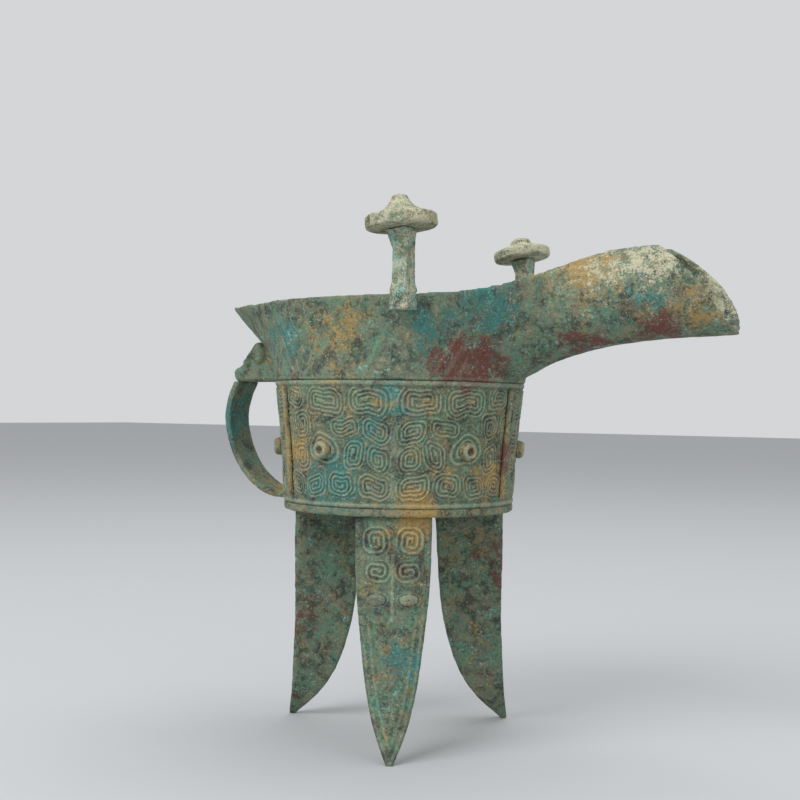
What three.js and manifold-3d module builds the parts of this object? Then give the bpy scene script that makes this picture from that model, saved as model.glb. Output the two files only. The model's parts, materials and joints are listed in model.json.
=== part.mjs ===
// Bronze ritual wine vessel: a deep cup on three blade legs, a long tubular spout, a pointed tail,
// two capped posts on the rim and a strap handle under the tail.
// Millimetres, +Z up, floor at Z = 0, spout toward +X. The vessel is symmetric about its XZ plane.
import * as THREE from 'three';
import { mergeVertices } from 'three/addons/utils/BufferGeometryUtils.js';
import Module from 'manifold-3d';

const wasm = await Module();
wasm.setup();

// Driving dimensions, from the cup's own axis and from the floor
const WALL = 2.4;
const FIT_GAP = 0.3;
const RING = { radius: 47.1, z: 132.6 };
const CUP = { segments: 56, footRadius: 43.3, waistRadius: 44.6, waistZ: 108 };
const PLATE = { radius: 43.4, underside: 84.7, thickness: 3 };
const TAIL_TIP_X = -80.9;
const INNER_TAIL_X = -75.5;
const SPOUT_TIP_X = 131;
const SPOUT_OVERRUN = 4;
const HANDLE = { reach: 81, width: 13, thickness: 2.6, topZ: 133, bevel: 0.5 };
const LEG = { angles: { leg_near: -60, leg_far: 60, leg_rear: 180 }, rings: 14 };
const POST = { x: 29.6, y: 45.6, footZ: 156.5 };
const CAPS = {
  near: { side: -1, radius: 12.5, band: 3.6, height: 11.6, knob: 2.9, stub: 1.2, z: 184.3, tilt: 5 },
  far: { side: 1, radius: 11.2, band: 3.2, height: 8.8, knob: 4.2, stub: 2.8, z: 183, tilt: 9 },
};
const BOSS = { radius: 3.4, height: 2.5, z: 108, fromMask: 34.5, standOff: 0.3, lean: 4.8 };
const RIDGE = { width: 1.7, depth: 1.6, low: 90.5, high: 130.5, gap: 0.3 };

// Longitudinal lines of the mouth casting, as X against a width, a height or an angle in degrees
const halfWidth = smoothLine([
  [TAIL_TIP_X, 1.2], [-74, 9], [-60, 23], [-30, 42.5], [0, 49.5], [28.5, 45.8],
  [48, 30.5], [60, 21], [72, 16.2], [90, 14], [SPOUT_TIP_X, 13.6],
]);
const rimHeight = smoothLine([
  [TAIL_TIP_X, 163.7], [-66, 161.9], [-30, 161.5], [28.5, 162], [45, 163.6],
  [58, 167], [70, 172], [82, 176.4], [94, 178.5], [SPOUT_TIP_X, 178.8],
]);
const tailKeel = smoothLine([[TAIL_TIP_X, 162.2], [-77, 159.4], [-66, 150.8], [-55, 141], [-RING.radius, RING.z]]);
const spoutKeel = smoothLine([
  [RING.radius, RING.z], [55, 135.6], [63, 139.6], [75, 143.3], [90, 146.2], [110, 148], [SPOUT_TIP_X, 148.6],
]);
const curlAngle = smoothLine([[48, 90], [60, 103], [72, 136], [88, 152], [108, 150], [SPOUT_TIP_X, 140]]);
const flarePower = smoothLine([[TAIL_TIP_X, 1.1], [-45, 1.2], [0, 1.7], [30, 1.4], [48, 1], [SPOUT_TIP_X, 1]]);

const bronze = (name, color, roughness = 0.8) =>
  new THREE.MeshStandardMaterial({ name, color, roughness, metalness: 0.35 });
const MATERIALS = {
  mouth: bronze('patina_teal', 0x4f6f66),
  cup: bronze('patina_green', 0x55695a),
  plate: bronze('patina_shadow', 0x3d4a42),
  leg: bronze('patina_olive', 0x66684f),
  strap: bronze('patina_dark', 0x3f5349),
  head: bronze('patina_ochre', 0x6d6f4c),
  post: bronze('patina_pale', 0x8fa096),
  cap: bronze('patina_cream', 0xa3a48e),
  relief: bronze('patina_relief', 0x6b7f6f),
};

// A smooth line through a few points, held level beyond its ends
function smoothLine(points) {
  const slope = (i) => {
    const [a, b] = [points[Math.max(i - 1, 0)], points[Math.min(i + 1, points.length - 1)]];
    return (b[1] - a[1]) / (b[0] - a[0]);
  };
  return (x) => {
    const last = points.length - 1;
    if (x <= points[0][0]) return points[0][1];
    if (x >= points[last][0]) return points[last][1];
    const i = points.findIndex((p) => p[0] > x) - 1;
    const span = points[i + 1][0] - points[i][0];
    const s = (x - points[i][0]) / span;
    const rise = s * s * (3 - 2 * s);
    const leave = s * (1 - s) * (1 - s) * slope(i) * span;
    const arrive = s * s * (s - 1) * slope(i + 1) * span;
    return points[i][1] * (1 - rise) + points[i + 1][1] * rise + leave + arrive;
  };
}

function keel(x) {
  if (x < -RING.radius) return tailKeel(x);
  return x > RING.radius ? spoutKeel(x) : RING.z;
}

// A closed skin over a row of rings with equal point counts, with both ends filled
function skin(rings) {
  const count = rings[0].length;
  const corners = rings.flat();
  const index = [];
  for (let i = 0; i + 1 < rings.length; i += 1) {
    for (let j = 0; j < count; j += 1) {
      const k = (j + 1) % count;
      const [a, b, c, d] = [i * count + j, i * count + k, (i + 1) * count + k, (i + 1) * count + j];
      index.push(a, b, c, a, c, d);
    }
  }
  const top = (rings.length - 1) * count;
  for (let j = 1; j + 1 < count; j += 1) {
    index.push(0, j + 1, j);
    index.push(top, top + j, top + j + 1);
  }
  const geometry = new THREE.BufferGeometry();
  geometry.setAttribute('position', new THREE.Float32BufferAttribute(corners.flatMap((p) => p.toArray()), 3));
  geometry.setIndex(index);
  return geometry;
}

function signedVolume(position, triangles) {
  const [a, b, c] = [new THREE.Vector3(), new THREE.Vector3(), new THREE.Vector3()];
  let volume = 0;
  for (let i = 0; i < triangles.length; i += 3) {
    a.fromBufferAttribute(position, triangles[i]);
    b.fromBufferAttribute(position, triangles[i + 1]);
    c.fromBufferAttribute(position, triangles[i + 2]);
    volume += a.dot(b.cross(c)) / 6;
  }
  return volume;
}

// The solid of a closed geometry, for joins and cuts
function solid(geometry) {
  const bare = geometry.clone();
  bare.deleteAttribute('normal');
  bare.deleteAttribute('uv');
  const merged = mergeVertices(bare, 1e-4);
  const source = merged.index.array;
  const triangles = [];
  for (let i = 0; i < source.length; i += 3) {
    const [a, b, c] = [source[i], source[i + 1], source[i + 2]];
    if (a !== b && b !== c && a !== c) triangles.push(a, b, c);
  }
  if (signedVolume(merged.attributes.position, triangles) < 0) triangles.reverse();
  const vertProperties = new Float32Array(merged.attributes.position.array);
  return new wasm.Manifold(new wasm.Mesh({ numProp: 3, vertProperties, triVerts: new Uint32Array(triangles) }));
}

function geometryOf(body) {
  const mesh = body.getMesh();
  const geometry = new THREE.BufferGeometry();
  geometry.setAttribute('position', new THREE.BufferAttribute(new Float32Array(mesh.vertProperties), 3));
  geometry.setIndex(new THREE.BufferAttribute(new Uint32Array(mesh.triVerts), 1));
  geometry.computeVertexNormals();
  return geometry;
}

// A side profile in X and Z, extruded evenly across the symmetry plane
function plateAcross(shape, width, bevel = 0, curveSegments = 12) {
  const geometry = new THREE.ExtrudeGeometry(shape, {
    depth: width - 2 * bevel,
    bevelEnabled: bevel > 0,
    bevelSize: bevel,
    bevelThickness: bevel,
    bevelOffset: -bevel,
    bevelSegments: 1,
    curveSegments,
  });
  geometry.translate(0, 0, -(width - 2 * bevel) / 2);
  return geometry.rotateX(Math.PI / 2);
}

const NECK_STEPS = 10;
const TUBE_START_X = 52;
const TUBE_FULL_X = 80;

// One cross-section of the mouth casting at X, drawn in by an inset: a flared neck wall between the
// posts that curls over into a nearly closed tube along the spout
function mouthSection(x, inset, openTop) {
  const tube = THREE.MathUtils.smoothstep(x, TUBE_START_X, TUBE_FULL_X);
  const half = Math.max(halfWidth(x) - inset, 0.4);
  const curl = THREE.MathUtils.degToRad(curlAngle(x));
  const rimHalf = half * Math.sin(curl);
  const reach = Math.max(RING.radius - inset, Math.abs(x));
  const rimReach = Math.max(Math.hypot(rimHalf, x), reach);
  const slope = (keel(x + 1.5) - keel(x - 1.5)) / 3;
  const low = keel(x) + inset * Math.hypot(1, slope);
  const high = rimHeight(x) - inset * (inset < 0 ? 1 : tube);
  const side = [];
  for (let i = 0; i <= NECK_STEPS; i += 1) {
    const angle = curl * i / NECK_STEPS;
    const rise = (1 - Math.cos(angle)) / (1 - Math.cos(curl));
    const radius = reach + (rimReach - reach) * rise ** flarePower(x);
    const neckY = Math.sqrt(Math.max(radius * radius - x * x, 0));
    side.push([THREE.MathUtils.lerp(neckY, half * Math.sin(angle), tube), low + (high - low) * rise]);
  }
  if (openTop) side.push([side[NECK_STEPS][0], rimHeight(x) + 4]);
  const right = side.map(([y, z]) => new THREE.Vector3(x, y, z));
  const left = side.map(([y, z]) => new THREE.Vector3(x, -y, z)).reverse();
  return [...right, ...left];
}

function mouthSolid(inset, startX, openTop) {
  const radius = RING.radius - inset;
  const stations = [];
  const tailSteps = 7;
  const ringSteps = 22;
  const spoutSteps = 13;
  for (let i = 0; i < tailSteps; i += 1) stations.push(startX + (-radius - startX) * i / tailSteps);
  for (let i = 0; i < ringSteps; i += 1) stations.push(-radius * Math.cos(Math.PI * i / ringSteps));
  for (let i = 0; i <= spoutSteps; i += 1) {
    stations.push(radius + (SPOUT_TIP_X + SPOUT_OVERRUN - radius) * i / spoutSteps);
  }
  return solid(skin(stations.map((x) => mouthSection(x, inset, openTop))));
}

// The slanting cut that opens the spout's mouth
function mouthCut() {
  const shape = new THREE.Shape();
  shape.moveTo(94, 190);
  shape.lineTo(104, 179.5);
  shape.quadraticCurveTo(124.5, 168, SPOUT_TIP_X, 147);
  shape.lineTo(SPOUT_TIP_X + 12, 140);
  shape.lineTo(SPOUT_TIP_X + 12, 190);
  return solid(plateAcross(shape, 60));
}

function innerSolid(inset) {
  const plug = new THREE.CylinderGeometry(RING.radius - inset, RING.radius - inset, 8, 44);
  plug.rotateX(Math.PI / 2).translate(0, 0, RING.z + inset - 3.99);
  return mouthSolid(inset, INNER_TAIL_X, true).add(solid(plug));
}

const outerNeck = mouthSolid(0, TAIL_TIP_X, false);
const fitNeck = mouthSolid(-FIT_GAP, TAIL_TIP_X - FIT_GAP, false);
const neckClearance = fitNeck.subtract(innerSolid(WALL + FIT_GAP));

function mouthCasting() {
  return geometryOf(outerNeck.subtract(innerSolid(WALL)).subtract(mouthCut()));
}

const cupRadius = smoothLine([
  [PLATE.underside + PLATE.thickness, CUP.footRadius], [CUP.waistZ, CUP.waistRadius], [RING.z, RING.radius],
]);

// The cup's wall, a closed ring profile turned about the axis
function cupWall() {
  const low = PLATE.underside + PLATE.thickness;
  const levels = [0, 0.2, 0.45, 0.7, 1].map((t) => low + (RING.z - low) * t);
  const outer = levels.map((z) => new THREE.Vector2(cupRadius(z), z));
  const inner = levels.map((z) => new THREE.Vector2(cupRadius(z) - WALL, z)).reverse();
  const geometry = new THREE.LatheGeometry([...outer, ...inner, outer[0].clone()], CUP.segments);
  return geometryOf(solid(geometry.rotateX(Math.PI / 2)));
}

function basePlate() {
  const { radius, underside, thickness } = PLATE;
  const edge = 0.5;
  const profile = [
    [0, underside], [radius - edge, underside], [radius, underside + edge],
    [radius, underside + thickness - edge], [radius - edge / 2, underside + thickness],
    [0, underside + thickness],
  ].map(([r, z]) => new THREE.Vector2(r, z));
  return geometryOf(solid(new THREE.LatheGeometry(profile, CUP.segments).rotateX(Math.PI / 2)));
}

const legOuter = smoothLine([[0, 49.6], [2.5, 48.9], [8, 46.9], [16, 45], [27, 43.3], [45, 41.4], [84.7, 40.9]]);
const legInner = smoothLine([[0, 47.6], [2.5, 45], [8, 38.2], [16, 31.2], [27, 25.4], [45, 20.2], [84.7, 16.7]]);
const legWidth = smoothLine([[0, 2.2], [2.5, 4.3], [8, 9], [16, 13.9], [27, 18.3], [45, 22.8], [62, 26], [84.7, 26.7]]);

// One blade leg: a bowed outer face and two inner faces that meet in a ridge toward the axis
function bladeLeg() {
  const rings = [];
  for (let i = 0; i < LEG.rings; i += 1) {
    const z = PLATE.underside * (i / (LEG.rings - 1)) ** 1.5;
    const [out, inn, half] = [legOuter(z), legInner(z), legWidth(z) / 2];
    const bow = half * 0.16;
    const ring = [];
    for (let j = -3; j <= 3; j += 1) ring.push([out - bow * (j / 3) ** 2, half * j / 3]);
    ring.push([out - bow - half * 0.16, half * 0.97]);
    ring.push([(out + inn) / 2 - half * 0.1, half * 0.46]);
    ring.push([inn, half * 0.06]);
    ring.push([inn, -half * 0.06]);
    ring.push([(out + inn) / 2 - half * 0.1, -half * 0.46]);
    ring.push([out - bow - half * 0.16, -half * 0.97]);
    rings.push(ring.map(([r, t]) => new THREE.Vector3(r, t, z)));
  }
  return geometryOf(solid(skin(rings)));
}

// The strap leaves the cup's foot level, swings out and rises to the animal head
function handleStrap() {
  const { reach, width, thickness, topZ, bevel } = HANDLE;
  const root = cupRadius(90) + FIT_GAP;
  const line = new THREE.CatmullRomCurve3([
    [-root + 1, 89], [-54, 88.2], [-61, 90], [-68, 94.6], [-73.6, 100.8],
    [-77.6, 108.6], [-reach + thickness / 2, 118], [-78.2, 126.4], [-74.2, topZ + 1.5],
  ].map(([x, z]) => new THREE.Vector3(x, 0, z)));
  const steps = 22;
  const [outside, inside] = [[], []];
  for (let i = 0; i <= steps; i += 1) {
    const at = line.getPoint(i / steps);
    const along = line.getTangent(i / steps);
    const swell = 1 + 0.25 * Math.abs(i / steps - 0.5);
    const offset = new THREE.Vector3(along.z, 0, -along.x).multiplyScalar(thickness * swell / 2);
    outside.push(new THREE.Vector2(at.x - offset.x, at.z - offset.z));
    inside.push(new THREE.Vector2(at.x + offset.x, at.z + offset.z));
  }
  const strap = solid(plateAcross(new THREE.Shape([...outside, ...inside.reverse()]), width, bevel));
  const trim = new THREE.BoxGeometry(40, 40, 10).translate(-74, 0, topZ + 5);
  const cup = new THREE.CylinderGeometry(root, root, 60, CUP.segments).rotateX(Math.PI / 2).translate(0, 0, 90);
  return geometryOf(strap.subtract(solid(trim)).subtract(solid(cup)));
}

// The animal head that grips the strap: snout outward, with eyes, cheeks and ears on both sides
function handleHead() {
  const z = HANDLE.topZ;
  const profile = new THREE.Shape();
  profile.moveTo(-46, z);
  profile.lineTo(-75.2, z);
  profile.quadraticCurveTo(-78.4, z + 2.4, -75.6, z + 5.4);
  profile.quadraticCurveTo(-72.4, z + 6, -70.8, z + 10.2);
  profile.quadraticCurveTo(-67.6, z + 14.8, -61, z + 16.6);
  profile.lineTo(-46, z + 16.6);
  let head = solid(plateAcross(profile, 12.6, 1, 6));
  for (const side of [-1, 1]) {
    const eye = new THREE.SphereGeometry(2, 12, 8).scale(1, 0.7, 1).translate(-69.6, side * 6.2, z + 7.4);
    const ear = new THREE.SphereGeometry(3.6, 12, 8).scale(1, 0.55, 1.25).translate(-63.6, side * 6.4, z + 11.4);
    const cheek = new THREE.SphereGeometry(3, 12, 8).scale(1.3, 0.5, 0.8).translate(-73, side * 5.4, z + 3.4);
    head = head.add(solid(eye)).add(solid(ear)).add(solid(cheek));
  }
  const floor = new THREE.BoxGeometry(60, 40, 20).translate(-60, 0, z - 10);
  const bore = RING.radius + FIT_GAP + 0.6;
  const ring = new THREE.CylinderGeometry(bore, bore, 40, 52).rotateX(Math.PI / 2).translate(0, 0, z - 5);
  return geometryOf(head.subtract(fitNeck).subtract(solid(ring)).subtract(solid(floor)));
}

function capFrame({ side, z, tilt }) {
  const frame = new THREE.Matrix4().makeTranslation(POST.x - 1, side * POST.y, z);
  return frame.multiply(new THREE.Matrix4().makeRotationY(THREE.MathUtils.degToRad(-tilt)));
}

// A square post that saddles the rim and widens under its cap, drawn toward the tail
function rimPost(cap) {
  const levels = [
    [POST.footZ, 7.4, 0], [163.2, 7.4, 0], [166, 6.3, 0], [177, 6, 0], [181, 7.4, -0.8], [190, 10.5, -1.6],
  ];
  const rings = levels.map(([z, width, shift]) => {
    const [h, c] = [width / 2, width * 0.1];
    const quarter = [[h - c, -h], [h, c - h]];
    const half = [...quarter, ...quarter.map(([x, y]) => [-y, x])];
    const outline = [...half, ...half.map(([x, y]) => [-x, -y])];
    return outline.map(([x, y]) => new THREE.Vector3(POST.x + shift + x, cap.side * POST.y + y, z));
  });
  const above = new THREE.BoxGeometry(60, 60, 20).translate(0, 0, 10 - FIT_GAP).applyMatrix4(capFrame(cap));
  return geometryOf(solid(skin(rings)).subtract(neckClearance).subtract(solid(above)));
}

// A cap: thick rim band, hollow cone and a rounded knob, turned about its own axis
function postCap({ radius, band, height, knob, stub }) {
  const shape = new THREE.Path();
  shape.moveTo(0, 0);
  shape.lineTo(radius - 0.9, 0);
  shape.quadraticCurveTo(radius, 0.2, radius, 1.2);
  shape.lineTo(radius, band);
  shape.quadraticCurveTo(radius - 0.2, band + 0.9, radius - 1.4, band + 1.1);
  shape.quadraticCurveTo(knob + 2, band + 2.2, knob, height - stub);
  shape.quadraticCurveTo(knob + 0.2, height, 0, height);
  const profile = shape.getPoints(4);
  return geometryOf(solid(new THREE.LatheGeometry(profile, 28).rotateX(Math.PI / 2)));
}

// A mask's eye: a round boss with a raised ring and a pit
function eyeBoss() {
  const { radius, height } = BOSS;
  const path = new THREE.Path();
  path.moveTo(0, 0);
  path.lineTo(radius, 0);
  path.lineTo(radius, 0.7);
  path.quadraticCurveTo(radius - 0.1, height, radius * 0.5, height);
  path.quadraticCurveTo(radius * 0.34, height, radius * 0.3, height - 0.9);
  path.lineTo(0, height - 1.1);
  return geometryOf(solid(new THREE.LatheGeometry(path.getPoints(3), 16).rotateX(Math.PI / 2)));
}

// A low upright ridge that parts two masks, following the cup's flare
function ridgeBar() {
  const { width, depth, low, high, gap } = RIDGE;
  const steps = 5;
  const rings = [];
  for (let i = 0; i <= steps; i += 1) {
    const z = low + (high - low) * i / steps;
    const back = cupRadius(z) + gap;
    const outline = [
      [back, -width / 2], [back + depth * 0.6, -width / 2], [back + depth, -width * 0.22],
      [back + depth, width * 0.22], [back + depth * 0.6, width / 2], [back, width / 2],
    ];
    rings.push(outline.map(([r, t]) => new THREE.Vector3(r, t, z)));
  }
  return geometryOf(solid(skin(rings)));
}

const vessel = new THREE.Group();

function place(name, geometry, material, matrix) {
  const mesh = new THREE.Mesh(geometry, material);
  mesh.name = name;
  if (matrix) mesh.applyMatrix4(matrix);
  vessel.add(mesh);
}

const turn = (degrees) => new THREE.Matrix4().makeRotationZ(THREE.MathUtils.degToRad(degrees));

place('mouth_casting', mouthCasting(), MATERIALS.mouth);
place('cup_wall', cupWall(), MATERIALS.cup);
place('base_plate', basePlate(), MATERIALS.plate);
for (const [name, angle] of Object.entries(LEG.angles)) place(name, bladeLeg(), MATERIALS.leg, turn(angle));
place('handle_strap', handleStrap(), MATERIALS.strap);
place('handle_head', handleHead(), MATERIALS.head);
for (const [name, cap] of Object.entries(CAPS)) {
  place(`post_${name}`, rimPost(cap), MATERIALS.post);
  place(`cap_${name}`, postCap(cap), MATERIALS.cap, capFrame(cap));
}
const MASKS = { near: -60, far: 60, rear: 180 };
for (const [name, centre] of Object.entries(MASKS)) {
  for (const side of [-1, 1]) {
    const outward = new THREE.Matrix4().makeTranslation(cupRadius(BOSS.z) + BOSS.standOff, 0, BOSS.z);
    outward.multiply(new THREE.Matrix4().makeRotationY(THREE.MathUtils.degToRad(90 + BOSS.lean)));
    const label = `eye_${name}_${side < 0 ? 'right' : 'left'}`;
    place(label, eyeBoss(), MATERIALS.relief, turn(centre + side * BOSS.fromMask).multiply(outward));
  }
}
const RIDGES = { front: 0, near: -120, far: 120 };
for (const [name, angle] of Object.entries(RIDGES)) place(`ridge_${name}`, ridgeBar(), MATERIALS.relief, turn(angle));

// The origin lies on the floor under the middle of the overall box
const box = new THREE.Box3().setFromObject(vessel, true);
vessel.position.x = -(box.min.x + box.max.x) / 2;

export default vessel;
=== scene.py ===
"""Dresses a bronze ritual wine vessel: cast relief, corroded surfaces, studio floor, lights and camera."""

import json
import logging
import math
from dataclasses import dataclass, field
from enum import Enum
from typing import Callable, Optional

import bpy
import numpy as np
from mathutils import Matrix, Vector

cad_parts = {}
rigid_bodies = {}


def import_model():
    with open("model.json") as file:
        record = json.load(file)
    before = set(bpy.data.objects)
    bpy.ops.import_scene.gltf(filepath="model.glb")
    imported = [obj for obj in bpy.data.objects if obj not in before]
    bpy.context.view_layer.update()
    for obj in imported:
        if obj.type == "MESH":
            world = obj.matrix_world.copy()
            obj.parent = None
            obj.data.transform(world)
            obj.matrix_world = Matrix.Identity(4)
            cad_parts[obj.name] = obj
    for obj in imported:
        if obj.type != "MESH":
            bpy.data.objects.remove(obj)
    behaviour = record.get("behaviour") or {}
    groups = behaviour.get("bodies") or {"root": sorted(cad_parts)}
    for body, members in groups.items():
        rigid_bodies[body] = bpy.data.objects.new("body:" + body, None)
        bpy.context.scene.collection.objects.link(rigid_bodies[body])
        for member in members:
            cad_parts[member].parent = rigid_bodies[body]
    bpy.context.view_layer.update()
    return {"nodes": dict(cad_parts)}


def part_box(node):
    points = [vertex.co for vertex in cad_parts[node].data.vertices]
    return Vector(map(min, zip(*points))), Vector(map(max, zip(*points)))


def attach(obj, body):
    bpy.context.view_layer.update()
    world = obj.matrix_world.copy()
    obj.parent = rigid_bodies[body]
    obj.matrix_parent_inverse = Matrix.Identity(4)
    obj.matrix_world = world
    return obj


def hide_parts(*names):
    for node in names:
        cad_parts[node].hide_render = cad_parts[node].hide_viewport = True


logging.basicConfig(level=logging.INFO, format="%(message)s")
LOG = logging.getLogger("vessel")

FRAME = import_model()

MM = 0.001
MASK_SPAN = 120.0
BAND = {"low": 87.7, "high": 132.6, "wall": 2.4, "foot": 43.3, "waist": 44.6, "waist_z": 108.0, "ring": 47.1}
Relief = Callable[[np.ndarray], np.ndarray]


class Tone(Enum):
    """Colours found on the corroded bronze, in linear light; SHADOW also serves as painted shade in recesses."""

    # SHADOW: dark bronze under the patina, and also the painted shade laid into the relief's recesses.
    SHADOW = (0.040, 0.052, 0.042)
    GREEN = (0.205, 0.235, 0.155)
    MALACHITE = (0.120, 0.255, 0.165)
    TEAL = (0.046, 0.215, 0.190)
    TURQUOISE = (0.250, 0.490, 0.410)
    OCHRE = (0.400, 0.270, 0.085)
    CUPRITE = (0.165, 0.052, 0.038)
    CREAM = (0.600, 0.570, 0.400)
    SILVER = (0.520, 0.560, 0.400)


@dataclass(frozen=True)
class Patina:
    """How much of each corrosion layer a member carries, from 0 to 1.

    Args:
        name: the material's name.
        slot: the record's material slot; not used.
        malachite, teal, turquoise, ochre, cuprite, cream: cover of each layer.
        seed: shift of the pattern, so that no two members match.
        wear: how pale the raised lines are.
    """

    name: str
    slot: str
    malachite: float = 0.5
    teal: float = 0.4
    turquoise: float = 0.25
    ochre: float = 0.3
    cuprite: float = 0.25
    cream: float = 0.1
    seed: float = 0.0
    wear: float = 0.25


def smooth_line(points: list[tuple[float, float]]) -> Callable[[np.ndarray], np.ndarray]:
    """A smooth line through a few points, level beyond its ends.

    Args:
        points: pairs of place and value, in rising order.

    Returns:
        A function of an array of places.
    """
    xs, ys = np.array(points, float).T
    slopes = np.array([(ys[min(i + 1, len(ys) - 1)] - ys[max(i - 1, 0)])
                       / (xs[min(i + 1, len(xs) - 1)] - xs[max(i - 1, 0)]) for i in range(len(xs))])

    def value(x: np.ndarray) -> np.ndarray:
        """Value of the line at x."""
        x = np.clip(x, xs[0], xs[-1])
        i = np.clip(np.searchsorted(xs, x, side="right") - 1, 0, len(xs) - 2)
        span = xs[i + 1] - xs[i]
        s = (x - xs[i]) / span
        rise = s * s * (3 - 2 * s)
        return (ys[i] * (1 - rise) + ys[i + 1] * rise + s * (1 - s) ** 2 * slopes[i] * span
                + s * s * (s - 1) * slopes[i + 1] * span)

    return value


cup_radius = smooth_line([(BAND["low"], BAND["foot"]), (BAND["waist_z"], BAND["waist"]), (BAND["high"], BAND["ring"])])
leg_outer = smooth_line([(0, 49.6), (2.5, 48.9), (8, 46.9), (16, 45), (27, 43.3), (45, 41.4), (84.7, 40.9)])
leg_width = smooth_line([(0, 2.2), (2.5, 4.3), (8, 9), (16, 13.9), (27, 18.3), (45, 22.8), (62, 26), (84.7, 26.7)])


@dataclass(frozen=True)
class Blotch:
    """A place where one corrosion layer is thicker, by angle and height on the vessel.

    Args:
        layer: the attribute that it adds to.
        angle: place round the axis, in degrees.
        radius: distance from the axis, in millimetres.
        z: height, in millimetres.
        size: reach, in millimetres.
        amount: added cover; less than zero thins the layer.
    """

    layer: str
    angle: float
    radius: float
    z: float
    size: float
    amount: float = 1.0

    def cover(self, places: np.ndarray) -> np.ndarray:
        """Added cover at each place, in millimetres from the axis."""
        turn = math.radians(self.angle)
        centre = np.array([self.radius * math.cos(turn), self.radius * math.sin(turn), self.z])
        away = np.linalg.norm(places - centre, axis=1) / self.size
        return self.amount * np.exp(-(away ** 2))


BLOTCH_LAYERS = ("teal", "ochre", "cuprite", "cream")
BLOTCHES = (
    Blotch("teal", -62, 46, 126, 8), Blotch("teal", -72, 45, 113, 9), Blotch("teal", -86, 44, 99, 11),
    Blotch("teal", -98, 44, 92, 10, 0.7), Blotch("ochre", -113, 45, 108, 7), Blotch("ochre", -8, 44, 99, 9, 0.8),
    Blotch("ochre", -48, 44, 90, 7, 0.6), Blotch("cuprite", 0, 46, 106, 8), Blotch("teal", -118, 50, 148, 10),
    Blotch("ochre", -84, 49, 150, 14, 0.7), Blotch("teal", -84, 50, 148, 9, -0.5), Blotch("teal", -50, 49, 152, 11, 0.8),
    Blotch("teal", -24, 56, 160, 12), Blotch("cuprite", -34, 48, 139, 10), Blotch("cuprite", -20, 50, 138, 10, 0.8),
    Blotch("cuprite", -5, 80, 146, 10, 0.7), Blotch("cuprite", -3, 108, 150, 10, 0.8),
    Blotch("ochre", -9, 84, 172, 13, 0.9), Blotch("cream", -8, 88, 174, 14, 0.6), Blotch("cream", -6, 108, 174, 14, 0.7),
    # The cream blotch at angle 4, radius 120, z 164 on the spout's inner far wall is partly cream patina and partly
    # painted light: its full amount brightens a wall that lies in shadow.
    Blotch("teal", -9, 104, 162, 9, 0.7), Blotch("cream", 4, 120, 164, 14, 1.0), Blotch("ochre", -6, 122, 156, 10, 0.6),
    Blotch("teal", -50, 44, 30, 12, 0.9), Blotch("ochre", -50, 42, 82, 8, 0.8), Blotch("teal", -66, 44, 70, 9, -0.5),
    Blotch("teal", 180, 43, 64, 13), Blotch("cuprite", 184, 42, 40, 11, 0.8), Blotch("cuprite", 38, 44, 64, 10, 0.7),
    Blotch("ochre", 66, 44, 74, 9, 0.6), Blotch("ochre", 180, 55, 89, 9), Blotch("teal", 180, 78, 120, 16, 0.7),
    Blotch("teal", 100, 47, 120, 16, 0.8), Blotch("ochre", 130, 46, 100, 14, 0.7), Blotch("cuprite", 75, 48, 145, 14, 0.7),
)


def lay_blotches(piece: bpy.types.Object) -> None:
    """Stores the added cover of each layer on a piece's vertices."""
    places, _ = coordinates(piece)
    places = places / MM - np.array([vessel_axis() / MM, 0, 0])
    for layer in BLOTCH_LAYERS:
        cover = sum(blotch.cover(places) for blotch in BLOTCHES if blotch.layer == layer)
        attribute = piece.data.attributes.new(f"{layer}_here", "FLOAT", "POINT")
        attribute.data.foreach_set("value", np.clip(cover, -1, 1).astype(np.float32))


def vessel_axis() -> float:
    """X of the cup's own axis, in metres."""
    low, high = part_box("cup_wall")
    return (low.x + high.x) / 2


def select_only(piece: bpy.types.Object) -> None:
    """Leaves one piece selected and active."""
    bpy.ops.object.select_all(action="DESELECT")
    piece.select_set(True)
    bpy.context.view_layer.objects.active = piece


def merge_doubles(piece: bpy.types.Object, outward: bool = False) -> None:
    """Joins loose corners of a piece, and turns its faces outward where asked.

    Args:
        piece: the mesh object.
        outward: whether normals are made consistent.
    """
    select_only(piece)
    bpy.ops.object.mode_set(mode="EDIT")
    bpy.ops.mesh.select_all(action="SELECT")
    bpy.ops.mesh.remove_doubles(threshold=2e-6)
    if outward:
        bpy.ops.mesh.normals_make_consistent(inside=False)
    bpy.ops.object.mode_set(mode="OBJECT")


def apply_modifier(piece: bpy.types.Object, kind: str, **values: object) -> None:
    """Adds a modifier with its values and applies it.

    Args:
        piece: the mesh object.
        kind: Blender's name of the modifier.
        values: its settings.
    """
    modifier = piece.modifiers.new(kind.lower(), kind)
    for key, value in values.items():
        setattr(modifier, key, value)
    select_only(piece)
    bpy.ops.object.modifier_apply(modifier=modifier.name)


def pit_surface(piece: bpy.types.Object, grain: float, depth: float) -> None:
    """Roughens a cast surface with cloud-shaped pits.

    Args:
        piece: the mesh object.
        grain: size of the pits, in metres.
        depth: height of the roughness, in metres.
    """
    clouds = bpy.data.textures.new(f"{piece.name}_pits", "CLOUDS")
    clouds.noise_scale = grain
    clouds.noise_depth = 3
    apply_modifier(piece, "DISPLACE", texture=clouds, strength=depth, mid_level=0.5)


def coordinates(piece: bpy.types.Object) -> tuple[np.ndarray, np.ndarray]:
    """Places and normals of a piece's vertices, in metres."""
    mesh = piece.data
    places = np.zeros(len(mesh.vertices) * 3)
    normals = np.zeros(len(mesh.vertices) * 3)
    mesh.vertices.foreach_get("co", places)
    mesh.vertex_normals.foreach_get("vector", normals)
    return places.reshape(-1, 3), normals.reshape(-1, 3)


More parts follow.
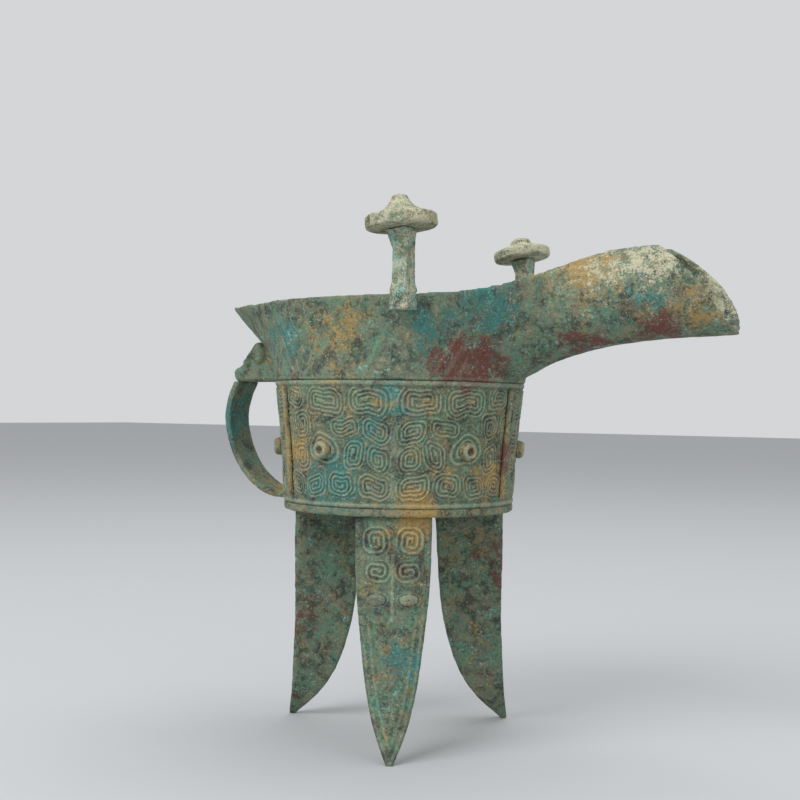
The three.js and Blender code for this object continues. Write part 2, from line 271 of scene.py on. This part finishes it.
def raise_relief(piece: bpy.types.Object, height: np.ndarray, depth: float) -> None:
    """Lifts the surface by an ornament and keeps it as the attribute relief.

    Args:
        piece: the mesh object.
        height: the ornament at each vertex, from 0 to 1.
        depth: lift of a full ridge, in metres.
    """
    places, normals = coordinates(piece)
    places += normals * (height * depth)[:, None]
    piece.data.vertices.foreach_set("co", places.ravel())
    keep_relief(piece, height)


def keep_relief(piece: bpy.types.Object, height: np.ndarray) -> None:
    """Stores the ornament's height on the vertices for the materials, which paint shade into its low places and wear
    its ridges pale.
    """
    attribute = piece.data.attributes.new("relief", "FLOAT", "POINT")
    attribute.data.foreach_set("value", height.astype(np.float32))
    piece.data.update()


def groove_wave(phase: np.ndarray) -> np.ndarray:
    """Flat-topped ridges, one for each whole step of phase."""
    return np.clip((0.5 - 0.5 * np.cos(2 * math.pi * phase) - 0.3) / 0.4, 0, 1)


def rounded_inset(dx: np.ndarray, dz: np.ndarray, half_x: float, half_z: float) -> np.ndarray:
    """Distance inward from the edge of a rounded rectangle, in millimetres.

    Args:
        dx, dz: places from its centre.
        half_x, half_z: its half width and half height.

    Returns:
        The distance, negative outside.
    """
    corner = min(half_x, half_z) * 0.85
    over_x, over_z = np.abs(dx) - half_x + corner, np.abs(dz) - half_z + corner
    outside = np.hypot(np.maximum(over_x, 0), np.maximum(over_z, 0))
    return corner - outside - np.minimum(np.maximum(over_x, over_z), 0)


@dataclass(frozen=True)
class Scroll:
    """A rounded square scroll of the thunder pattern, in millimetres on the unrolled wall."""

    x: float
    z: float
    half_x: float
    half_z: float
    pitch: float = 1.75
    sense: int = 1
    lift: float = 1.0

    def height(self, x: np.ndarray, z: np.ndarray) -> tuple[np.ndarray, np.ndarray]:
        """Ridge height of the scroll and the area that it covers.

        Args:
            x, z: places on the unrolled wall.

        Returns:
            Height from 0 to 1, and a mask of the scroll's area.
        """
        dx, dz = x - self.x, z - self.z
        inset = rounded_inset(dx, dz, self.half_x, self.half_z)
        turn = np.arctan2(dz / self.half_z, dx / self.half_x) / (2 * math.pi)
        ridge = groove_wave(inset / self.pitch + self.sense * turn)
        return ridge * self.lift, inset > -0.2


MASK_SCROLLS = [
    Scroll(8.8, 37.6, 7.8, 5.8, 1.55), Scroll(26.0, 37.4, 8.6, 5.6, 1.5, -1), Scroll(41.0, 39.4, 5.2, 4.2, 1.4, -1),
    Scroll(6.6, 27.2, 5.4, 4.4, 1.45, -1), Scroll(18.2, 28.6, 5.6, 3.4, 1.4), Scroll(37.6, 29.6, 4.6, 5.2, 1.45),
    Scroll(5.4, 17.6, 4.4, 4.8, 1.4), Scroll(14.6, 18.6, 4.4, 5.6, 1.45, -1), Scroll(38.4, 18.2, 4.4, 5.6, 1.5, -1),
    Scroll(7.4, 7.6, 6.4, 4.6, 1.5, -1), Scroll(20.0, 8.4, 5.6, 4.8, 1.5), Scroll(31.4, 7.4, 5.2, 4.4, 1.4, -1),
    Scroll(42.0, 7.6, 4.6, 4.4, 1.4), Scroll(45.6, 23.6, 2.4, 9.0, 1.4, 1, 0.8),
]
EYE = {"x": 27.0, "z": 20.3, "radius": 6.4}
LEG_SCROLLS = [Scroll(6.2, 76.2, 5.0, 5.4, 1.9), Scroll(5.4, 65.6, 4.6, 3.8, 1.8, -1)]


def thunder_ground(x: np.ndarray, z: np.ndarray, cell: float = 4.4) -> np.ndarray:
    """Fine square spirals that fill the ground between the scrolls."""
    column, row = np.floor(x / cell), np.floor(z / cell)
    sense = np.where((column + row) % 2 > 0, 1.0, -1.0)
    dx, dz = (x / cell - column) * 2 - 1, (z / cell - row) * 2 - 1
    size = np.maximum(np.abs(dx), np.abs(dz))
    return groove_wave(size * 1.5 - sense * np.arctan2(dz, dx) / (2 * math.pi)) * 0.6


def mask_height(x: np.ndarray, z: np.ndarray) -> np.ndarray:
    """Height of one mask panel, from 0 to 1.

    Args:
        x: distance along the wall from the mask's centre line, in millimetres.
        z: height above the wall's foot, in millimetres.

    Returns:
        The ornament's height at each place.
    """
    side = np.abs(x + 0.5 * np.sin(z * 0.31) * np.sin(x * 0.17))
    top = BAND["high"] - BAND["low"]
    straight = z
    z = z + 0.9 * np.sin(side * 0.37 + 0.6) * np.sin(z * math.pi / top) + 0.3 * np.sin(x * 0.9)
    height = thunder_ground(side, z)
    for scroll in MASK_SCROLLS:
        ridge, area = scroll.height(side, z)
        height = np.where(area, ridge, height)
    reach = np.hypot((side - EYE["x"]) / 1.25, z - EYE["z"])
    socket = groove_wave(reach / 2.0)
    height = np.where(reach < EYE["radius"], socket, height)
    nose = np.clip(1.5 - side, 0, 1)
    height = np.maximum(height, nose * 0.6 * (straight > 3) * (straight < 43))
    border = np.maximum(np.clip(1.3 - np.abs(straight - top + 0.9), 0, 1), np.clip(1.2 - np.abs(straight - 1.0), 0, 1))
    inside = (straight > 2.6) & (straight < top - 2.4)
    return np.maximum(np.where(inside, height, 0), border)


def leg_height(across: np.ndarray, z: np.ndarray) -> np.ndarray:
    """Height of a leg's ornament: scrolls, an oval pair of eyes and a long leaf."""
    side = np.abs(across)
    half = leg_width(z) / 2
    share = side / half
    leaf = 0.3 + 0.35 * groove_wave((half - side) / 2.3) * (share < 0.95) * (half - side < 5.0)
    barbs = 0.3 + 0.2 * groove_wave((z + side * 1.6) / 3.1) * (half - side > 5.0)
    height = np.where(z < 50, np.maximum(leaf, barbs), 0.25)
    for scroll in LEG_SCROLLS:
        ridge, area = scroll.height(side, z)
        height = np.where(area, ridge, height)
    reach = np.hypot((side - 5.7) / 3.3, (z - 55.7) / 2.1)
    eye = np.where(reach < 1.0, 0.5 + 0.9 * np.sqrt(np.clip(1 - reach ** 2, 0, 1)), 0)
    rim = np.clip(1 - np.abs(reach - 1.25) / 0.2, 0, 1) * 0.9
    nose = np.clip(1.2 - side, 0, 1) * (z > 48) * (z < 72)
    return np.maximum.reduce([height * (reach > 1.4), eye, rim, nose])


class Member:
    """One cast member: a fine skin over its solid, with pits and, where it has any, relief."""

    def __init__(self, node: str, patina: Patina, voxel: float, pits: float = 0.35, smooth: int = 2) -> None:
        """Keeps the member's values.

        Args:
            node: the solid that the member stands for.
            patina: its finish.
            voxel: size of the skin's faces, in millimetres.
            pits: depth of the pits, in millimetres.
            smooth: rounds of smoothing, which wear the edges.
        """
        self.node = node
        self.patina = patina
        self.voxel = voxel * MM
        self.pits = pits * MM
        self.smooth = smooth

    def build(self) -> bpy.types.Object:
        """Makes the member and places it on the body.

        Returns:
            The finished piece.
        """
        piece = self.skin()
        self.ornament(piece)
        pit_surface(piece, 3.2 * MM, self.pits)
        lay_blotches(piece)
        self.finish(piece)
        return piece

    def skin(self) -> bpy.types.Object:
        """A fine, slightly worn copy of the solid."""
        source = FRAME["nodes"][self.node]
        piece = bpy.data.objects.new(f"{self.node}_cast", source.data.copy())
        bpy.context.scene.collection.objects.link(piece)
        piece.data.materials.clear()
        merge_doubles(piece)
        apply_modifier(piece, "REMESH", mode="VOXEL", voxel_size=self.voxel, adaptivity=0.0)
        apply_modifier(piece, "SMOOTH", factor=0.5, iterations=self.smooth)
        return piece

    def ornament(self, piece: bpy.types.Object) -> None:
        """A plain member has even relief."""
        keep_relief(piece, np.full(len(piece.data.vertices), 0.55))

    def finish(self, piece: bpy.types.Object) -> None:
        """Gives the piece its material, smooth shading and body."""
        piece.data.materials.append(MATERIALS.make(self.patina))
        select_only(piece)
        bpy.ops.object.shade_smooth()
        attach(piece, "root")
        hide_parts(self.node)
        LOG.info("%s: %d vertices", piece.name, len(piece.data.vertices))


class EyeBoss(Member):
    """A round boss with a raised ring and a pit in its middle."""

    RING_RADIUS = 2.1
    PIT_RADIUS = 0.9

    def ornament(self, piece: bpy.types.Object) -> None:
        """Raises the ring and sinks the pit on the outer face."""
        places, normals = coordinates(piece)
        low, high = places.min(0), places.max(0)
        middle = (low + high) / 2
        facing = np.array([middle[0] - vessel_axis(), middle[1], 0.0])
        facing /= np.linalg.norm(facing)
        offset = places - middle
        away = np.linalg.norm(offset - np.outer(offset @ facing, facing), axis=1) / MM
        ring = np.exp(-((away - self.RING_RADIUS) / 0.5) ** 2)
        pit = np.exp(-((away / self.PIT_RADIUS) ** 2))
        outer = (normals @ facing > 0.35) * 1.0
        shift = (0.25 * ring - 0.8 * pit) * outer * MM
        piece.data.vertices.foreach_set("co", (places + shift[:, None] * facing).ravel())
        # The pit's low relief is darkened by the material's painted recess shade.
        keep_relief(piece, np.clip(0.55 + 0.5 * ring * outer - 0.9 * pit * outer, 0, 1))


class MouthCasting(Member):
    """Neck, tail and spout, with rising blades round the neck and scrolls on the spout's flanks."""

    BLADE = 30.0
    BLADE_LOW = 134.5
    BLADE_HIGH = 157.0

    def ornament(self, piece: bpy.types.Object) -> None:
        """Raises the neck's blades and the spout's scrolls."""
        places, normals = coordinates(piece)
        x = places[:, 0] / MM - vessel_axis() / MM
        y, z = places[:, 1] / MM, places[:, 2] / MM
        radial = np.hypot(x, y) + 1e-6
        outward = (normals[:, 0] * x + normals[:, 1] * y) / radial > 0.25
        angle = np.degrees(np.arctan2(y, x))
        rise = (z - self.BLADE_LOW) / (self.BLADE_HIGH - self.BLADE_LOW)
        across = np.abs(((angle + self.BLADE / 2) % self.BLADE) / self.BLADE * 2 - 1)
        edge = across + rise
        lines = 0.42 + 0.3 * groove_wave(edge * 2.6)
        on_neck = (rise > 0) & (edge < 1) & (x < 44) & outward
        height = np.where(on_neck, lines, 0.5)
        flank = (x > 66) & (x < 108) & (np.abs(y) > 6)
        for centre, low, reach in ((79, 163, 9.5), (97, 164, 8.0)):
            away = np.maximum(np.abs(x - centre), np.abs(z - low)) * 0.35 + np.hypot(x - centre, z - low) * 0.65
            rings = 0.42 + 0.35 * groove_wave(away / 2.6)
            height = np.where(flank & (away < reach), rings, height)
        seam = np.clip(1.2 - np.abs(z - BAND["high"] - 1.0), 0, 1) * outward * (radial < 49)
        raise_relief(piece, np.maximum(height, seam * 0.8), 0.5 * MM)


class BladeLeg(Member):
    """A blade leg whose bowed outer face carries the ornament."""

    def __init__(self, node: str, angle: float, patina: Patina) -> None:
        """Keeps the leg's place.

        Args:
            node: the leg's solid.
            angle: its place round the axis, in degrees.
            patina: its finish.
        """
        super().__init__(node, patina, 0.42, 0.3, 1)
        self.angle = math.radians(angle)

    def ornament(self, piece: bpy.types.Object) -> None:
        """Raises scrolls, eyes and leaf on the outer face."""
        places, normals = coordinates(piece)
        x, y, z = places[:, 0] / MM - vessel_axis() / MM, places[:, 1] / MM, places[:, 2] / MM
        cos, sin = math.cos(self.angle), math.sin(self.angle)
        across = y * cos - x * sin
        facing = (normals[:, 0] * cos + normals[:, 1] * sin) > 0.6
        height = np.where(facing, leg_height(across, z), 0.4)
        raise_relief(piece, height, 0.65 * MM)


class CupWall(Member):
    """The decorated wall, a ring whose outer side carries three masks on a thunder ground."""

    COLUMNS = 720
    OUTER_ROWS = 118
    INNER_ROWS = 8

    def skin(self) -> bpy.types.Object:
        """A closed ring modelled from a grid that is rolled round the axis."""
        rows = self.OUTER_ROWS + self.INNER_ROWS + 4
        select_none = bpy.ops.object.select_all
        select_none(action="DESELECT")
        bpy.ops.mesh.primitive_grid_add(x_subdivisions=self.COLUMNS, y_subdivisions=rows, size=2)
        piece = bpy.context.object
        piece.name = "cup_wall_cast"
        places, _ = coordinates(piece)
        angle = (places[:, 0] + 1) * math.pi
        row = np.rint((places[:, 1] + 1) / 2 * rows).astype(int)
        radius, z = self.ring_profile(rows)
        self.angle_of = angle
        turned = np.stack([radius[row] * np.cos(angle) * MM + vessel_axis(), radius[row] * np.sin(angle) * MM,
                           z[row] * MM], -1)
        piece.data.vertices.foreach_set("co", turned.ravel())
        piece.data.update()
        merge_doubles(piece, outward=True)
        return piece

    def ring_profile(self, rows: int) -> tuple[np.ndarray, np.ndarray]:
        """Radius and height of each row round the wall's section, in millimetres."""
        outer_z = np.linspace(BAND["low"], BAND["high"], self.OUTER_ROWS + 1)
        inner_z = np.linspace(BAND["high"], BAND["low"], self.INNER_ROWS + 1)
        outer_r, inner_r = cup_radius(outer_z), cup_radius(inner_z) - BAND["wall"]
        middle_top, middle_low = (outer_r[-1] + inner_r[0]) / 2, (outer_r[0] + inner_r[-1]) / 2
        radius = np.concatenate([outer_r, [middle_top], inner_r, [middle_low, outer_r[0]]])
        z = np.concatenate([outer_z, [BAND["high"]], inner_z, [BAND["low"], BAND["low"]]])
        return radius[:rows + 1], z[:rows + 1]

    def ornament(self, piece: bpy.types.Object) -> None:
        """Raises the masks on the outer side."""
        places, _ = coordinates(piece)
        x, y, z = places[:, 0] / MM - vessel_axis() / MM, places[:, 1] / MM, places[:, 2] / MM
        radial = np.hypot(x, y)
        angle = np.degrees(np.arctan2(y, x))
        local = (angle + MASK_SPAN) % MASK_SPAN - MASK_SPAN / 2
        outside = radial > cup_radius(z) - BAND["wall"] / 2
        height = np.where(outside, mask_height(np.radians(local) * 45.0, z - BAND["low"]), 0.4)
        places[:, :2] += np.stack([x, y], -1) / radial[:, None] * ((height - 0.35) * 0.5 * outside * MM)[:, None]
        piece.data.vertices.foreach_set("co", places.ravel())
        keep_relief(piece, height)


class Sheet:
    """Short calls for placing and wiring shader nodes."""

    def __init__(self, tree: bpy.types.NodeTree) -> None:
        """Keeps the node tree."""
        self.tree = tree

    def add(self, kind: str, **values: object) -> bpy.types.Node:
        """Adds a node and sets its properties."""
        node = self.tree.nodes.new(kind)
        for key, value in values.items():
            setattr(node, key, value)
        return node

    def link(self, source: bpy.types.NodeSocket, target: bpy.types.NodeSocket) -> None:
        """Joins two sockets."""
        self.tree.links.new(source, target)

    def math(self, operation: str, first: object, second: object) -> bpy.types.NodeSocket:
        """A math node over sockets or numbers."""
        node = self.add("ShaderNodeMath", operation=operation)
        for socket, value in zip(node.inputs, (first, second)):
            if isinstance(value, bpy.types.NodeSocket):
                self.link(value, socket)
            else:
                socket.default_value = value
        return node.outputs[0]

    def mix(self, factor: object, first: object, second: object, blend: str = "MIX") -> bpy.types.NodeSocket:
        """A colour mix over sockets or colours."""
        node = self.add("ShaderNodeMix", data_type="RGBA", blend_type=blend)
        for index, value in ((0, factor), (6, first), (7, second)):
            if isinstance(value, bpy.types.NodeSocket):
                self.link(value, node.inputs[index])
            elif isinstance(value, tuple):
                node.inputs[index].default_value = (*value, 1.0)
            else:
                node.inputs[index].default_value = value
        return node.outputs[2]


class MaterialShelf:
    """Builds the shared group of corrosion and painted recess shade once, and a material for each patina."""

    LAYERS = (
        ("Malachite", Tone.MALACHITE, 110.0, 0.14, 3.0),
        ("Teal", Tone.TEAL, 105.0, 0.12, 11.0),
        ("Ochre", Tone.OCHRE, 150.0, 0.16, 19.0),
        ("Cuprite", Tone.CUPRITE, 130.0, 0.12, 27.0),
        ("Turquoise", Tone.TURQUOISE, 210.0, 0.08, 35.0),
        ("Cream", Tone.CREAM, 260.0, 0.12, 43.0),
    )

    def __init__(self) -> None:
        """Starts with no group."""
        self.group: Optional[bpy.types.NodeTree] = None

    def corrosion(self) -> bpy.types.NodeTree:
        """The corrosion group: layers of patina over dark bronze, with painted shade darkening the relief's recesses.

        Returns:
            The node group, with colour, roughness and height outputs.
        """
        if self.group:
            return self.group
        tree = bpy.data.node_groups.new("corrosion_and_painted_shade", "ShaderNodeTree")
        tree.interface.new_socket("Vector", in_out="INPUT", socket_type="NodeSocketVector")
        tree.interface.new_socket("Relief", in_out="INPUT", socket_type="NodeSocketFloat")
        tree.interface.new_socket("Wear", in_out="INPUT", socket_type="NodeSocketFloat")
        for name, *_ in self.LAYERS:
            tree.interface.new_socket(name, in_out="INPUT", socket_type="NodeSocketFloat")
        for name, kind in (("Color", "NodeSocketColor"), ("Roughness", "NodeSocketFloat"), ("Height", "NodeSocketFloat")):
            tree.interface.new_socket(name, in_out="OUTPUT", socket_type=kind)
        sheet = Sheet(tree)
        source, result = sheet.add("NodeGroupInput"), sheet.add("NodeGroupOutput")
        place = source.outputs["Vector"]
        ground = self.noise(sheet, place, 190.0, 51.0)
        grain = self.noise(sheet, place, 1250.0, 61.0)
        colour = sheet.mix(self.mask(sheet, ground, 0.78, 0.2), Tone.SHADOW.value, Tone.GREEN.value)
        height = sheet.math("MULTIPLY", grain, 0.8)
        height = sheet.math("ADD", height, sheet.math("MULTIPLY", ground, 0.5))
        for name, tone, scale, soft, shift in self.LAYERS:
            cloud = self.noise(sheet, place, scale, shift)
            fine = self.noise(sheet, place, scale * 6.5, shift + 2.0)
            blend = sheet.math("ADD", sheet.math("MULTIPLY", cloud, 0.56), sheet.math("MULTIPLY", fine, 0.44))
            cover = self.mask(sheet, blend, source.outputs[name], soft)
            tint = sheet.mix(fine, tuple(c * 0.55 for c in tone.value), tuple(min(c * 1.45, 1.0) for c in tone.value))
            colour = sheet.mix(cover, colour, tint)
            height = sheet.math("ADD", height, sheet.math("MULTIPLY", cover, 0.16))
        # Painted shade: the lower the relief, the more the colour is darkened toward SHADOW, as if shade fell in the
        # recesses.
        painted_recess_shade = sheet.math("SUBTRACT", 1.0, source.outputs["Relief"])
        colour = sheet.mix(sheet.math("MULTIPLY", painted_recess_shade, 0.27), colour, Tone.SHADOW.value)
        worn = sheet.math("MULTIPLY", self.mask(sheet, source.outputs["Relief"], 0.5, 0.3), source.outputs["Wear"])
        colour = sheet.mix(worn, colour, Tone.SILVER.value)
        dark = self.mask(sheet, sheet.math("SUBTRACT", 1.0, grain), 0.22, 0.1)
        colour = sheet.mix(sheet.math("MULTIPLY", dark, 0.75), colour, Tone.SHADOW.value)
        colour = sheet.mix(sheet.math("MULTIPLY", self.mask(sheet, grain, 0.2, 0.1), 0.34), colour, Tone.CREAM.value)
        sheet.link(colour, result.inputs["Color"])
        sheet.link(sheet.math("ADD", 0.62, sheet.math("MULTIPLY", ground, 0.3)), result.inputs["Roughness"])
        sheet.link(height, result.inputs["Height"])
        self.group = tree
        return tree

    @staticmethod
    def noise(sheet: Sheet, place: bpy.types.NodeSocket, scale: float, shift: float) -> bpy.types.NodeSocket:
        """Cloudy noise, shifted so that layers differ."""
        move = sheet.add("ShaderNodeVectorMath", operation="ADD")
        sheet.link(place, move.inputs[0])
        move.inputs[1].default_value = (shift, shift * 0.7, shift * 1.3)
        node = sheet.add("ShaderNodeTexNoise")
        sheet.link(move.outputs[0], node.inputs["Vector"])
        node.inputs["Scale"].default_value = scale
        node.inputs["Detail"].default_value = 7.0
        node.inputs["Roughness"].default_value = 0.62
        node.inputs["Distortion"].default_value = 0.5
        return node.outputs["Fac"]

    @staticmethod
    def mask(sheet: Sheet, value: bpy.types.NodeSocket, cover: object, soft: float) -> bpy.types.NodeSocket:
        """A soft-edged mask whose area grows with cover."""
        edge = sheet.math("SUBTRACT", 0.63, sheet.math("MULTIPLY", cover, 0.32))
        node = sheet.add("ShaderNodeMapRange", interpolation_type="SMOOTHSTEP")
        sheet.link(value, node.inputs["Value"])
        sheet.link(edge, node.inputs["From Min"])
        sheet.link(sheet.math("ADD", edge, soft), node.inputs["From Max"])
        return node.outputs["Result"]

    def make(self, patina: Patina) -> bpy.types.Material:
        """The material of one patina.

        Args:
            patina: the layers' cover.

        Returns:
            A procedural material.
        """
        existing = bpy.data.materials.get(patina.name)
        if existing:
            return existing
        material = bpy.data.materials.new(patina.name)
        material.use_nodes = True
        sheet = Sheet(material.node_tree)
        material.node_tree.nodes.clear()
        shader, output = sheet.add("ShaderNodeBsdfPrincipled"), sheet.add("ShaderNodeOutputMaterial")
        place = sheet.add("ShaderNodeTexCoord")
        shift = sheet.add("ShaderNodeMapping")
        shift.inputs["Location"].default_value = (patina.seed, patina.seed * 0.37, patina.seed * 0.81)
        relief = sheet.add("ShaderNodeAttribute", attribute_name="relief")
        group = sheet.add("ShaderNodeGroup", node_tree=self.corrosion())
        bump = sheet.add("ShaderNodeBump")
        bump.inputs["Strength"].default_value = 0.75
        bump.inputs["Distance"].default_value = 0.7 * MM
        sheet.link(place.outputs["Object"], shift.inputs["Vector"])
        sheet.link(shift.outputs["Vector"], group.inputs["Vector"])
        sheet.link(relief.outputs["Fac"], group.inputs["Relief"])
        group.inputs["Wear"].default_value = patina.wear
        for name, *_ in self.LAYERS:
            cover = getattr(patina, name.lower())
            group.inputs[name].default_value = cover
            if name.lower() in BLOTCH_LAYERS:
                here = sheet.add("ShaderNodeAttribute", attribute_name=f"{name.lower()}_here")
                added = sheet.math("MULTIPLY", here.outputs["Fac"], 0.62)
                sheet.link(sheet.math("ADD", added, cover), group.inputs[name])
        sheet.link(group.outputs["Height"], bump.inputs["Height"])
        sheet.link(group.outputs["Color"], shader.inputs["Base Color"])
        sheet.link(group.outputs["Roughness"], shader.inputs["Roughness"])
        sheet.link(bump.outputs["Normal"], shader.inputs["Normal"])
        shader.inputs["Metallic"].default_value = 0.12
        sheet.link(shader.outputs["BSDF"], output.inputs["Surface"])
        return material


MATERIALS = MaterialShelf()


@dataclass(frozen=True)
class Camera:
    """The photograph's view, solved in millimetres from the cup's axis and in degrees."""

    place: tuple[float, float, float] = (261.9, -415.5, 123.0)
    turn: float = 32.21
    tilt: float = 90.36
    roll: float = 0.789
    lens: float = 57.82
    sensor: float = 36.0

    def build(self) -> None:
        """Adds the camera and makes it the scene's."""
        data = bpy.data.cameras.new("view")
        data.lens, data.sensor_width, data.clip_start = self.lens, self.sensor, 0.01
        camera = bpy.data.objects.new("view", data)
        bpy.context.scene.collection.objects.link(camera)
        move = Matrix.Translation(Vector(self.place) * MM + Vector((vessel_axis(), 0, 0)))
        turn = Matrix.Rotation(math.radians(self.turn), 4, "Z") @ Matrix.Rotation(math.radians(self.tilt), 4, "X")
        camera.matrix_world = move @ turn @ Matrix.Rotation(math.radians(self.roll), 4, "Z")
        bpy.context.scene.camera = camera


@dataclass(frozen=True)
class Lamp:
    """A soft rectangular lamp aimed at the vessel."""

    name: str
    place: tuple[float, float, float]
    size: float
    power: float

    def build(self) -> None:
        """Adds the lamp."""
        data = bpy.data.lights.new(self.name, "AREA")
        data.size, data.energy = self.size, self.power
        lamp = bpy.data.objects.new(self.name, data)
        bpy.context.scene.collection.objects.link(lamp)
        lamp.location = self.place
        lamp.rotation_euler = (Vector((0, 0, 0.1)) - Vector(self.place)).to_track_quat("-Z", "Y").to_euler()


@dataclass
class Studio:
    """Pale floor, even backdrop light and three soft lamps."""

    floor_tone: tuple[float, float, float] = (0.52, 0.53, 0.545)
    sky_tone: tuple[float, float, float] = (0.66, 0.67, 0.68)
    sky_light: float = 0.95
    lamps: list[Lamp] = field(default_factory=lambda: [
        Lamp("key", (-0.35, -1.15, 1.15), 0.9, 13.0),
        Lamp("fill", (1.35, -0.75, 0.6), 1.2, 4.0),
        Lamp("top", (0.1, 0.35, 1.5), 1.0, 7.0),
    ])

    def build(self) -> None:
        """Adds floor, world and lamps."""
        bpy.ops.object.select_all(action="DESELECT")
        bpy.ops.mesh.primitive_plane_add(size=12.0, location=(0, 0, 0))
        floor = bpy.context.object
        floor.name = "studio_floor"
        material = bpy.data.materials.new("floor_paint")
        material.use_nodes = True
        paint = material.node_tree.nodes["Principled BSDF"]
        paint.inputs["Base Color"].default_value = (*self.floor_tone, 1.0)
        paint.inputs["Roughness"].default_value = 0.9
        floor.data.materials.append(material)
        self.light_world()
        for lamp in self.lamps:
            lamp.build()

    def light_world(self) -> None:
        """A world that lights evenly and shows the backdrop's tone to the camera."""
        world = bpy.data.worlds.new("studio_world")
        world.use_nodes = True
        bpy.context.scene.world = world
        sheet = Sheet(world.node_tree)
        backdrop = world.node_tree.nodes["Background"]
        backdrop.inputs["Color"].default_value = (*self.sky_tone, 1.0)
        path = sheet.add("ShaderNodeLightPath")
        seen = sheet.math("MULTIPLY", path.outputs["Is Camera Ray"], 1.0 - self.sky_light)
        sheet.link(sheet.math("ADD", seen, self.sky_light), backdrop.inputs["Strength"])


MOUTH = Patina("patina_mouth", "patina_teal", 0.50, 0.20, 0.22, 0.32, 0.24, 0.14, 0.0, 0.1)
CUP = Patina("patina_cup", "patina_green", 0.50, 0.14, 0.16, 0.40, 0.20, 0.16, 3.1, 0.24)
LEG = Patina("patina_leg", "patina_olive", 0.52, 0.20, 0.22, 0.36, 0.26, 0.18, 7.3, 0.2)
PLATE = Patina("patina_plate", "patina_shadow", 0.45, 0.18, 0.14, 0.40, 0.26, 0.16, 5.7, 0.2)
STRAP = Patina("patina_strap", "patina_dark", 0.45, 0.30, 0.20, 0.32, 0.22, 0.10, 9.9, 0.1)
HEAD = Patina("patina_head", "patina_ochre", 0.55, 0.22, 0.24, 0.40, 0.26, 0.16, 12.1, 0.1)
POST = Patina("patina_post", "patina_pale", 0.50, 0.30, 0.46, 0.34, 0.16, 0.54, 14.2, 0.4)
CAP = Patina("patina_cap", "patina_cream", 0.50, 0.06, 0.22, 0.42, 0.16, 0.66, 16.8, 0.4)
RELIEF = Patina("patina_boss", "patina_relief", 0.40, 0.10, 0.12, 0.62, 0.30, 0.30, 18.4, 0.35)


def build_vessel() -> None:
    """Builds every member in the order of assembly."""
    MouthCasting("mouth_casting", MOUTH, 0.95, 0.4, 3).build()
    CupWall("cup_wall", CUP, 0.4, 0.12).build()
    for node, angle in (("leg_near", -60), ("leg_far", 60), ("leg_rear", 180)):
        BladeLeg(node, angle, LEG).build()
    Member("base_plate", PLATE, 0.5, 0.4).build()
    Member("handle_strap", STRAP, 0.35, 0.35, 3).build()
    Member("handle_head", HEAD, 0.32, 0.4, 3).build()
    for side in ("near", "far"):
        Member(f"post_{side}", POST, 0.28, 0.35, 3).build()
        Member(f"cap_{side}", CAP, 0.3, 0.22, 2).build()
        EyeBoss(f"eye_{side}_left", RELIEF, 0.16, 0.12).build()
        EyeBoss(f"eye_{side}_right", RELIEF, 0.16, 0.12).build()
        Member(f"ridge_{side}", RELIEF, 0.22, 0.25).build()
    EyeBoss("eye_rear_left", RELIEF, 0.16, 0.12).build()
    EyeBoss("eye_rear_right", RELIEF, 0.16, 0.12).build()
    Member("ridge_front", RELIEF, 0.22, 0.25).build()


def main() -> None:
    """Builds camera, vessel and studio."""
    bpy.context.scene.view_settings.view_transform = "Standard"
    Camera().build()
    build_vessel()
    Studio().build()


if __name__ == "__main__":
    main()
